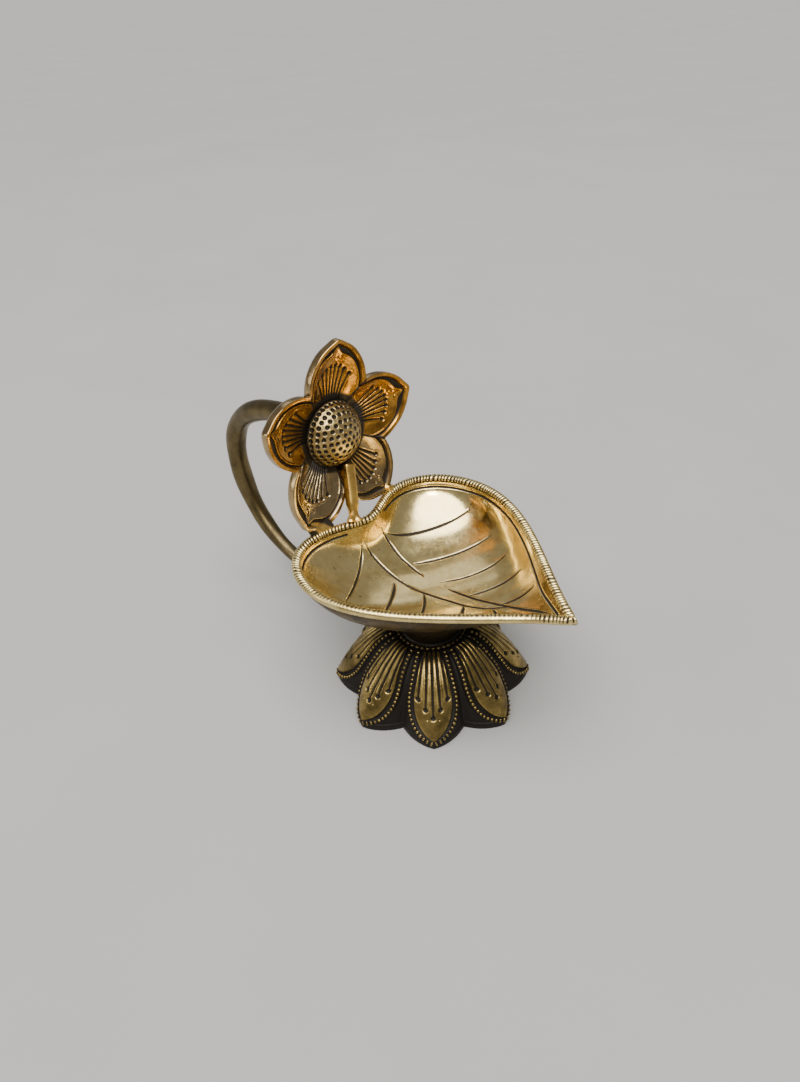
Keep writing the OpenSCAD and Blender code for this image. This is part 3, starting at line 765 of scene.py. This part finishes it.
def build_stem():
    """The faceted bar in the notch, lumpy with braze at its foot."""
    top, foot = from_flower([11.2, 2.6, -4.2]), np.array([NOTCH_X - 1.5, -5.3, RIM_Z + 0.6])
    s = np.linspace(0, 1, 70)
    path = lerp(foot, top, s[:, None])
    width = 1.45 + 0.5 * smooth(0.17, 0.32, s) + 0.15 * smooth(0.6, 1, s) + 0.95 * smooth(0.13, 0.02, s)
    thick = 1.35 + 0.4 * smooth(0.17, 0.32, s) + 0.75 * smooth(0.13, 0.02, s)
    chamfer = 1 - 0.45 * smooth(0.95, 1.0, s)
    rows = sweep(path, np.column_stack([thick * chamfer, width * chamfer]), 24, squareness=0.85)
    a = np.arange(24) * math.pi / 12
    lump = 1 + smooth(0.15, 0.0, s)[:, None] * 0.16 * (np.sin(3 * a + 1) + np.sin(5 * a))[None, :]
    # Darker at the top, tucked under the flower, and at the braze on its foot: patina and painted shade
    patina_and_shade = 0.12 + 0.6 * smooth(0.9, 1.0, s) + 0.3 * smooth(0.2, 0.1, s)
    shape = shell(lumpy(rows, path, lump), start=path[0], end=path[-1],
                  values={"patina_and_shade": patina_and_shade[:, None] * np.ones(24)})
    make_piece("leaf_stem_bar", shape, ["leaf_stem"], STEM, 35)


def low_edge(petal, u):
    """A point inside the edge of a lower petal: u is 0 at the tip and 1 at the next valley."""
    a = petal_angle(petal) + u * HALF_STEP
    r = petal_edge(np.array(u), petal) - lerp(1.2, 1.8, u)
    return from_flower([r * math.cos(a), r * math.sin(a), -1.6])


def braze(tops, feet, r, wander):
    """A lumpy run of braze between two lines of points."""
    down = feet - tops
    length = np.linalg.norm(down, axis=1, keepdims=True)
    down /= length
    side = unit(np.cross(down, np.gradient((tops + feet) / 2, axis=0)))
    a = np.arange(32) * math.pi / 16
    s = np.linspace(0, 1, len(tops))[:, None]
    lump = np.sin(2 * a + 9 * s) + 0.7 * np.sin(3 * a - 14 * s) + 0.5 * np.sin(5 * a + 23 * s)
    round_end = np.sqrt(np.clip(1 - (2 * s - 1) ** 8, 0.02, 1))
    size = (1 + wander * lump) * round_end
    rows = ((tops + feet)[:, None] / 2
            + ((length / 2 + r) * np.cos(a) * size)[..., None] * down[:, None]
            + (r * np.sin(a) * size)[..., None] * side[:, None])
    return shell(rows, start=rows[0].mean(0), end=rows[-1].mean(0),
                 values={"patina_and_shade": 0.6 + 0.3 * np.sin(a + 7 * s)})


def build_lugs():
    """Braze that joins the two lower petals to the rim: a long seam on one, a short lug on the other."""
    tops = np.array([low_edge(2, u) for u in np.linspace(0, 0.5, 60)])
    first = np.array([-LOBE - 0.6, tops[0, 1] + 0.4, RIM_Z + 0.6])
    last = np.array([-LOBE + 1.2, tops[-1, 1], RIM_Z + 0.5])
    feet = lerp(first, last, np.linspace(0, 1, 60)[:, None])
    seam = braze(tops, feet, 1.1, 0.07)
    tip = low_edge(3, 0.0)
    foot = np.array([-LOBE + 0.3, tip[1] + 2.2, RIM_Z + 0.7])
    path = lerp(tip, foot, np.linspace(0, 1, 24)[:, None])
    rows = sweep(path, np.full(24, 1.55), 28)
    g, t = np.arange(28) * math.pi / 14, np.linspace(0, 1, 24)[:, None]
    lump = 1 + 0.12 * (np.sin(2 * g + 5 * t) + 0.6 * np.sin(5 * g - 7 * t))
    lug = shell(lumpy(rows, path, lump), start=path[0], end=path[-1],
                values={"patina_and_shade": np.full(rows.shape[:2], 0.3)})
    shape = join([seam, lug])
    make_piece("petal_lugs_pair", shape, ["petal_lugs"], STEM)


# ---------- handle ----------

def build_handle():
    """The finger loop, from its collar behind the flower down and back to the flat eye on the neck."""
    reach = -handle_lo[0] - 3.65
    flower_z, tail_z = FLOWER_MID[2], NECK_TOP + EYE / 2
    start = from_flower([0, 0, -CUP - HUB_T - 0.2])
    back, low = [-reach, 0, SEAT_Z + 18], [-0.62 * reach, 0, 17.4]
    loops = [[start, [-0.81 * reach, 0, flower_z + 2.1], [-reach, 0, flower_z - 9.4], back],
             [back, [-reach, 0, SEAT_Z + 2], [-0.878 * reach, 0, 18], low],
             [low, [-0.46 * reach, 0, 17.2], [-34, 0, tail_z], [-11, 0, tail_z]]]
    t = np.linspace(0, 1, 90)
    path = np.vstack([bezier(loops[0], t[:-1]), bezier(loops[1], t[:-1]), bezier(loops[2], t)])
    where = np.concatenate([t[:-1], 1 + t[:-1], 2 + t])
    across = np.where(where < 1, 3.7, lerp(3.7, 2.6, smooth(1, 2, where)))
    across = np.where(where > 2, lerp(2.6, 3.0, smooth(2, 3, where)), across)
    deep = np.where(where > 2, lerp(2.6, 1.2, smooth(2, 2.9, where)), across)
    collar = 0.75 * smooth(0.045, 0.03, where)
    across, deep = across + collar, deep + collar
    rows = sweep(path, np.column_stack([deep, across]), 48)
    wobble = 0.03 * np.sin(where * 17)[:, None, None] * (rows - path[:, None])
    # Darker at the collar behind the flower, towards the tail and on the eye under the bowl: patina and
    # painted shade
    patina_and_shade = 0.16 + 0.7 * smooth(0.06, 0.0, where) + 0.3 * smooth(2.2, 3, where)
    patina_and_shade = patina_and_shade[:, None] * np.ones(rows.shape[1])
    rod = shell(rows + wobble, start=path[0], end=path[-1], values={"patina_and_shade": patina_and_shade})
    eye = lathe([[6.5, NECK_TOP + EYE], [13.0, NECK_TOP + EYE], [13.3, NECK_TOP + EYE - 0.35],
                 [13.3, NECK_TOP + 0.35], [13.0, NECK_TOP], [6.5, NECK_TOP], [6.5, NECK_TOP + EYE]])
    shape = join([rod, shell(eye, values={"patina_and_shade": np.full(eye.shape[:2], 0.55)})])
    make_piece("handle_loop", shape, ["handle"], ROD, 60)


# ---------- lotus foot ----------

RIDGE = [(12.6, 1), (14.6, 1), (16.6, 0.96), (19.3, 0.87), (21.9, 0.765), (24.3, 0.655), (26.5, 0.55),
         (28.6, 0.43), (30.4, 0.315), (31.7, 0.21), (32.6, 0.145), (33, 0.1)]
VALLEY = [(12.6, 0.985), (14.5, 0.975), (16.4, 0.93), (18.6, 0.85), (20.5, 0.75), (22, 0.65), (23.2, 0.55),
          (24.2, 0.43), (25, 0.33), (25.5, 0.24), (25.9, 0.165), (26, 0.1)]
PETALS = 8
HALF_PETAL = math.pi / PETALS
PANEL_END, BEAD_END = 0.915, 0.985


def foot_point(u, t):
    """The foot's plain surface: u from a petal's ridge (0) to the valley (1), t from the crown down."""
    u, t = np.broadcast_arrays(np.asarray(u, float), np.asarray(t, float))
    x = np.linspace(0, 1, len(RIDGE))
    f = 1 - np.abs(u) ** lerp(2.0, 1.3, t)
    ridge_r, ridge_z = (curve_value(x, [p[k] for p in RIDGE], t) for k in (0, 1))
    valley_r, valley_z = (curve_value(x, [p[k] for p in VALLEY], t) for k in (0, 1))
    r = lerp(valley_r, ridge_r, f) * FOOT_R / 33
    a = u * HALF_PETAL
    return np.stack([r * np.cos(a), r * np.sin(a), lerp(valley_z, ridge_z, f) * FOOT_H], -1)


def panel_half(t):
    """Half-width of the raised panel at t, as a share of the half petal."""
    wide = lerp(0.52, 0.64, smooth(0, 0.5, t))
    return wide * np.maximum(0, 1 - np.maximum(0, (t - 0.42) / (PANEL_END - 0.42)) ** 2.3)


def bead_half(t):
    """Where the middle of the beaded border runs."""
    wide = lerp(0.52, 0.64, smooth(0, 0.5, t)) + lerp(0.25, 0.145, smooth(0, 0.45, t))
    return wide * np.maximum(0, 1 - np.maximum(0, (t - 0.42) / (BEAD_END - 0.42)) ** 2.6)


def bead_line():
    """The middle of the beaded border, from the crown to the petal's tip."""
    t = 0.03 + np.linspace(0, 1, 900) * (BEAD_END - 0.03)
    return foot_point(bead_half(t), t)


def plain_petal():
    """Half a petal before its decoration: its u and t, its points and its outward directions."""
    u, t = np.linspace(0, 1, 41), np.linspace(0, 1, 104)
    base = foot_point(u[None, :], t[:, None])
    return u, t, base, grid_normals(base, wrap=False)


def ray_gap(across, down):
    """Distance outside a foot petal's engraved rays and their punched ends."""
    gap = np.hypot(across - 1.7, down - 22.6) - 0.25
    for k, end in enumerate((22.0, 19.6, 16.8)):
        s = np.clip((down - 1.0) / (end - 1.0), 0, 1)
        ray = np.hypot(across - lerp(1.35, 2.3, s) * k, np.maximum(0, down - end)) - lerp(0.40, 0.26, s)
        dot = np.hypot(across - 2.3 * k, down - end) - 0.80
        gap = np.minimum(gap, np.minimum(ray, dot))
    return gap


def half_petal():
    """Half a petal with its raised panel, border and rays, and the darkening at each point: patina, with
    painted shade at the crown.
    """
    u, t, base, side = plain_petal()
    panel_t = np.linspace(0, 1, 900) * PANEL_END
    to_panel, _ = nearest(foot_point(panel_half(panel_t), panel_t), base)
    to_bead, _ = nearest(bead_line(), base)
    inside = np.where(u[None, :] < panel_half(t)[:, None], -to_panel, to_panel)
    panel, border = smooth(0.22, -0.28, inside), smooth(1.05, 0.55, to_bead)
    across = np.arctan2(base[..., 1], base[..., 0]) * np.hypot(base[..., 0], base[..., 1])
    down, _ = along(foot_point(np.zeros(len(t)), t))
    gap = ray_gap(across, down[:, None])
    rays = smooth(0.14, -0.2, gap) * smooth(0.1, -0.3, inside)
    ring = np.exp(-((gap - 0.3) / 0.2) ** 2) * panel
    lift = 0.6 * panel + 0.30 * border - 0.5 * rays + 0.1 * ring - 0.35 * (1 - panel) * (1 - border)
    crown = smooth(0.0, 0.06, t)[:, None]
    lift *= crown * smooth(1.0, 0.96, t)[:, None]
    surface = base + side * lift[..., None]
    surface[:, 0, 1] = 0
    patina_and_shade = np.maximum(np.minimum(inked(-inside - 0.02), 0.97), inked(gap))
    # The crown next to the neck is darker: patina and painted shade
    return surface, np.maximum(patina_and_shade, np.maximum(0.97 - 0.92 * crown, 0.7 * smooth(0.10, 0.0, t)[:, None]))


def petal_turn(petal):
    """The turn that carries the first petal to another, for points held as rows."""
    g = petal * 2 * math.pi / PETALS + FOOT_TURN
    return np.array([[math.cos(g), math.sin(g), 0], [-math.sin(g), math.cos(g), 0], [0, 0, 1]])


def foot_walls(edge, angles):
    """Rings down the side wall to the table, then up the hollow to the web that the nut clamps."""
    web = washer_hi[2]
    wall = [edge * [1, 1, 0] + [0, 0, z] for z in (1.6, 0.5, 0.0)]
    wall[2] = wall[2] * [0.994, 0.994, 1]
    hollow = [(22.6, 0), (22.3, 0.5), (22.3, 3), (21, 8), (18.6, 13), (14.5, web - 1.4), (12.2, web),
              (2.7, web)]
    return wall + [ring_at(r, z, angles) for r, z in hollow]


def build_foot():
    """The hollow lotus foot: eight petals, the side wall, the hollow and the recess for the neck."""
    half, half_patina_and_shade = half_petal()
    petal = np.concatenate([half[:, -2:0:-1] * [1, -1, 1], half], 1)
    petal_patina_and_shade = np.concatenate([half_patina_and_shade[:, -2:0:-1], half_patina_and_shade], 1)
    rows = np.concatenate([petal @ petal_turn(q) for q in range(PETALS)], 1)
    n = rows.shape[1]
    angles = np.arctan2(rows[-1, :, 1], rows[-1, :, 0])
    walls = foot_walls(rows[-1], angles)
    recess = [ring_at(r, z, angles)
              for r, z in ((6.0, FOOT_H - 1.5), (12.25, FOOT_H - 1.5), (12.25, FOOT_H - 0.15))]
    rows[..., 2] += 0.05 * np.sin(rows[..., 0] * 0.9) * np.cos(rows[..., 1] * 0.8 + 1)
    # The recess under the neck, the side wall down to the table and the hollow are darker: patina and painted
    # shade
    wall_patina_and_shade = np.array([0.9, 0.95, 0.8, 0.35, 0.7] + [0.8] * 6)[:, None] * np.ones(n)
    patina_and_shade = np.vstack([np.full((3, n), 0.95), np.tile(petal_patina_and_shade, PETALS), wall_patina_and_shade])
    shape = shell(np.concatenate([recess, rows, walls]), values={"patina_and_shade": patina_and_shade})
    make_piece("lotus_foot", shape, ["lotus_base"], FOOT)


def bead_shape():
    """Points and faces of a unit bead: a little more than half a ball."""
    lat, lon = 6, 12
    leans, turns = np.arange(1, lat)[:, None] / lat * math.pi * 0.62, 2 * math.pi * np.arange(lon) / lon
    ball = np.vstack([[[0, 0, 1.0]], direction(leans, turns).reshape(-1, 3)])
    faces = [[0, 1 + j, 1 + (j + 1) % lon] for j in range(lon)]
    return ball, faces + [[1 + i for i in face] for face in grid_faces(lat - 1, lon)]


def build_beads():
    """Beads along both borders of every petal, smaller at the crown and wider near the tip."""
    line = bead_line()
    at, total = along(line)
    count = int(total / 1.42)
    want = (np.arange(count) + 0.5) / count * total
    centres = np.stack([np.interp(want, at, line[:, k]) for k in range(3)], 1)
    _, _, base, side = plain_petal()
    _, which = nearest(base.reshape(-1, 3), centres)
    normal = side.reshape(-1, 3)[which]
    ahead = unit(np.gradient(centres, axis=0))
    aside = np.cross(normal, ahead)
    ball, ball_faces = bead_shape()
    # Each bead is darker towards its foot on the petal, with its top left bright: patina and painted shade at
    # the foot
    patina_and_shade = np.clip(0.98 - ball[:, 2], 0.05, 1)
    beads = []
    for petal in range(PETALS):
        for mirror in (1, -1):
            faces = [face[::mirror] for face in ball_faces]
            for k in range(count):
                size = 0.61 * lerp(0.8, 1.0, min(1, k / 4)) * (1 + RANDOM.normal(0, 0.05))
                tip = smooth(0.75, 0.95, k / count)
                p = centres[k] + normal[k] * 0.36 + size * (
                    ball[:, :1] * ahead[k] * lerp(0.95, 0.62, tip)
                    + ball[:, 1:2] * aside[k] * lerp(0.95, 1.45, tip) + ball[:, 2:] * normal[k] * 0.85)
                beads.append((p * [1, mirror, 1] @ petal_turn(petal), faces, {"patina_and_shade": patina_and_shade}))
    shape = join(beads)
    make_piece("lotus_foot_beads", shape, ["lotus_base"], FOOT)


# ---------- neck and fasteners ----------

def build_neck():
    """The turned neck between foot and bowl, with a ring of beads round its foot."""
    z0, top = neck_lo[2], neck_hi[2]
    # Radius, height and darkening, from the stud's hole at the top, over the outside, to the hole below:
    # patina, with painted shade in the holes and low down by the beads
    profile = [(STUD_R + 0.1, top - 5.4, 0.9), (6.5, top - 5.4, 0.9), (6.5, top - 0.2, 0.9), (6.7, top, 0.6),
               (13.1, top, 0.5), (13.35, top - 0.3, 0.35), (12.9, top - 1.6, 0.45), (12.2, top - 3.0, 0.5),
               (11.5, top - 4.6, 0.5), (10.9, z0 + 5.8, 0.45), (10.45, z0 + 4.7, 0.4), (10.25, z0 + 4.0, 0.4),
               (10.1, z0 + 3.1, 0.6), (9.55, z0 + 2.5, 0.9), (9.5, z0 + 1.8, 0.95), (9.9, z0 + 1.25, 0.95),
               (10.3, z0 + 1.0, 0.9), (12.0, z0 + 1.0, 0.9), (12.1, z0 + 0.8, 0.9), (12.1, z0, 0.9),
               (STUD_R + 0.1, z0, 0.9)]
    rows = lathe([p[:2] for p in profile], 128)
    parts = [shell(rows, values={"patina_and_shade": np.array([p[2:] for p in profile]) * np.ones(128)})]
    beads, bead_r, circle_r = 40, 0.78, 11.2
    ball = lathe([(math.sin(e), math.cos(e)) for e in np.linspace(0.25, 2.2, 7)], 12)
    # Each bead is darker underneath, with its top left bright: patina and painted shade
    patina_and_shade = np.clip(0.75 - 0.8 * ball[..., 2], 0.1, 1)
    for k in range(beads):
        g = 2 * math.pi * (k + RANDOM.normal(0, 0.03)) / beads
        size = bead_r * (1 + RANDOM.normal(0, 0.04))
        rows = ball * size + [circle_r * math.cos(g), circle_r * math.sin(g), z0 + 1.0]
        parts.append(shell(rows, start=rows[0].mean(0) + [0, 0, 0.03], values={"patina_and_shade": patina_and_shade}))
    shape = join(parts)
    make_piece("neck_beaded", shape, ["neck_spool"], NECK, 60)


def build_stud():
    """The stud, with a rolled thread along all of it."""
    pitch, n = 0.8, 40
    z = np.linspace(stud_hi[2] - 0.05, stud_lo[2] + 0.05, 300)
    a = np.arange(n) * 2 * math.pi / n
    phase = (z[:, None] / pitch + a / (2 * math.pi)) % 1
    tooth = np.abs(2 * phase - 1)
    ends = np.minimum(z - stud_lo[2], stud_hi[2] - z)[:, None]
    r = np.minimum(STUD_R - 0.42 * tooth, STUD_R - 0.6 + ends)
    rows = np.stack([r * np.cos(a), r * np.sin(a), np.broadcast_to(z[:, None], r.shape)], -1)
    shape = shell(rows, start=[0, 0, stud_hi[2]], end=[0, 0, stud_lo[2]], values={"patina_and_shade": 0.15 + 0.7 * tooth})
    make_piece("centre_stud_threaded", shape, ["centre_stud"], FIXING)


def build_washer():
    """The plain washer, with its edges broken."""
    lo, hi = washer_lo[2], washer_hi[2]
    outer = (washer_hi[0] - washer_lo[0]) / 2
    rows = lathe([(STUD_R + 0.1, hi), (outer - 0.12, hi), (outer, hi - 0.12), (outer, lo + 0.12),
                  (outer - 0.12, lo), (STUD_R + 0.2, lo), (STUD_R + 0.1, lo + 0.1), (STUD_R + 0.1, hi)], 72)
    shape = shell(rows, values={"patina_and_shade": np.full(rows.shape[:2], 0.3)})
    make_piece("stud_washer_plain", shape, ["stud_washer"], FIXING, 30)


def build_nut():
    """The hexagon nut, chamfered at its lower corners."""
    lo, hi, flat = nut_lo[2], nut_hi[2], (nut_hi[1] - nut_lo[1]) / 2
    a = np.arange(96) * math.pi / 48
    hexagon = flat / np.cos((a + math.pi / 6) % (math.pi / 3) - math.pi / 6)
    chamfer = np.maximum(0, hexagon - flat) * 0.58
    rings = [(STUD_R, hi), (hexagon - 0.05, hi), (hexagon, hi - 0.06), (hexagon, lo + chamfer + 0.02),
             (np.minimum(hexagon, flat), lo), (STUD_R + 0.25, lo), (STUD_R - 0.1, lo + 0.3),
             (STUD_R - 0.1, hi)]
    grid = np.array([ring_at(r, z, a) for r, z in rings])
    shape = shell(grid, values={"patina_and_shade": np.full(grid.shape[:2], 0.25)})
    make_piece("stud_nut_hexagon", shape, ["stud_nut"], FIXING, 25)


# ---------- stage ----------

def build_stage():
    """A plain, pale floor, wide enough to reach past the picture."""
    mesh = bpy.data.meshes.new("floor")
    size = 30.0
    corners = [(-size, -size, 0), (size, -size, 0), (size, size, 0), (-size, size, 0)]
    mesh.from_pydata(corners, [], [(0, 1, 2, 3)])
    floor = place("floor", mesh)
    m = Nodes("pale_floor")
    m.link(m.mix(m.ramp(m.noise(9, 3), 0.3, 0.7), (0.37, 0.366, 0.358), (0.385, 0.38, 0.372)),
           m.shader.inputs["Base Color"])
    m.shader.inputs["Roughness"].default_value = 0.9
    m.shader.inputs["Specular IOR Level"].default_value = 0.15
    mesh.materials.append(m.material)


def softbox(name, towards, distance, size, power, colour):
    """A soft area light that looks at the middle of the lamp."""
    light = bpy.data.lights.new(name, "AREA")
    light.shape, light.size, light.size_y = "RECTANGLE", size[0], size[1]
    light.energy, light.color = power, colour
    lamp = place(name, light)
    d = Vector(towards).normalized()
    lamp.location = Vector((0, 0, 0.06)) + d * distance
    lamp.rotation_euler = (-d).to_track_quat("-Z", "Y").to_euler()


def build_light():
    """A pale studio: even world light, a broad panel overhead and three softboxes."""
    world = bpy.data.worlds.new("studio")
    bpy.context.scene.world = world
    world.use_nodes = True
    background = world.node_tree.nodes["Background"]
    background.inputs["Color"].default_value = (0.74, 0.72, 0.68, 1)
    background.inputs["Strength"].default_value = 0.38
    sun = bpy.data.lights.new("sky_panel", "SUN")
    sun.energy, sun.angle, sun.color = 5.0, math.radians(56), (1.0, 0.985, 0.96)
    lamp = place("sky_panel", sun)
    lamp.rotation_euler = Vector((0.15, -0.25, 0.95)).to_track_quat("Z", "Y").to_euler()
    softbox("back", (-0.55, 0.50, 0.62), 0.9, (0.55, 0.40), 0.5, (0.97, 0.98, 1.0))
    softbox("left", (-0.57, -0.73, 0.36), 0.8, (0.20, 0.40), 1.3, (1.0, 0.98, 0.93))
    softbox("front", (0.45, -0.42, 0.80), 0.7, (0.16, 0.12), 1.2, (1.0, 0.94, 0.84))


def build_camera():
    """The camera stands where the lamp's own perspective puts it."""
    data = bpy.data.cameras.new("camera")
    data.sensor_fit, data.sensor_width, data.sensor_height = "VERTICAL", 36.0, 36.0
    data.lens = 26.82
    data.clip_start, data.clip_end = 0.005, 100
    camera = place("camera", data)
    right = Vector((0.73328, 0.67851, -0.04387)).normalized()
    back = Vector((0.56681, -0.57438, 0.59061)).normalized()
    up = back.cross(right).normalized()
    turn = Matrix((right, up, back)).transposed().to_4x4()
    camera.matrix_world = Matrix.Translation((0.13474, -0.14905, 0.20566)) @ turn
    bpy.context.scene.camera = camera


build_camera()
build_stage()
build_light()
build_bowl_inside()
build_bowl_underside()
build_rope()
build_flower()
build_dome()
build_stem()
build_lugs()
build_handle()
build_foot()
build_beads()
build_neck()
build_stud()
build_washer()
build_nut()
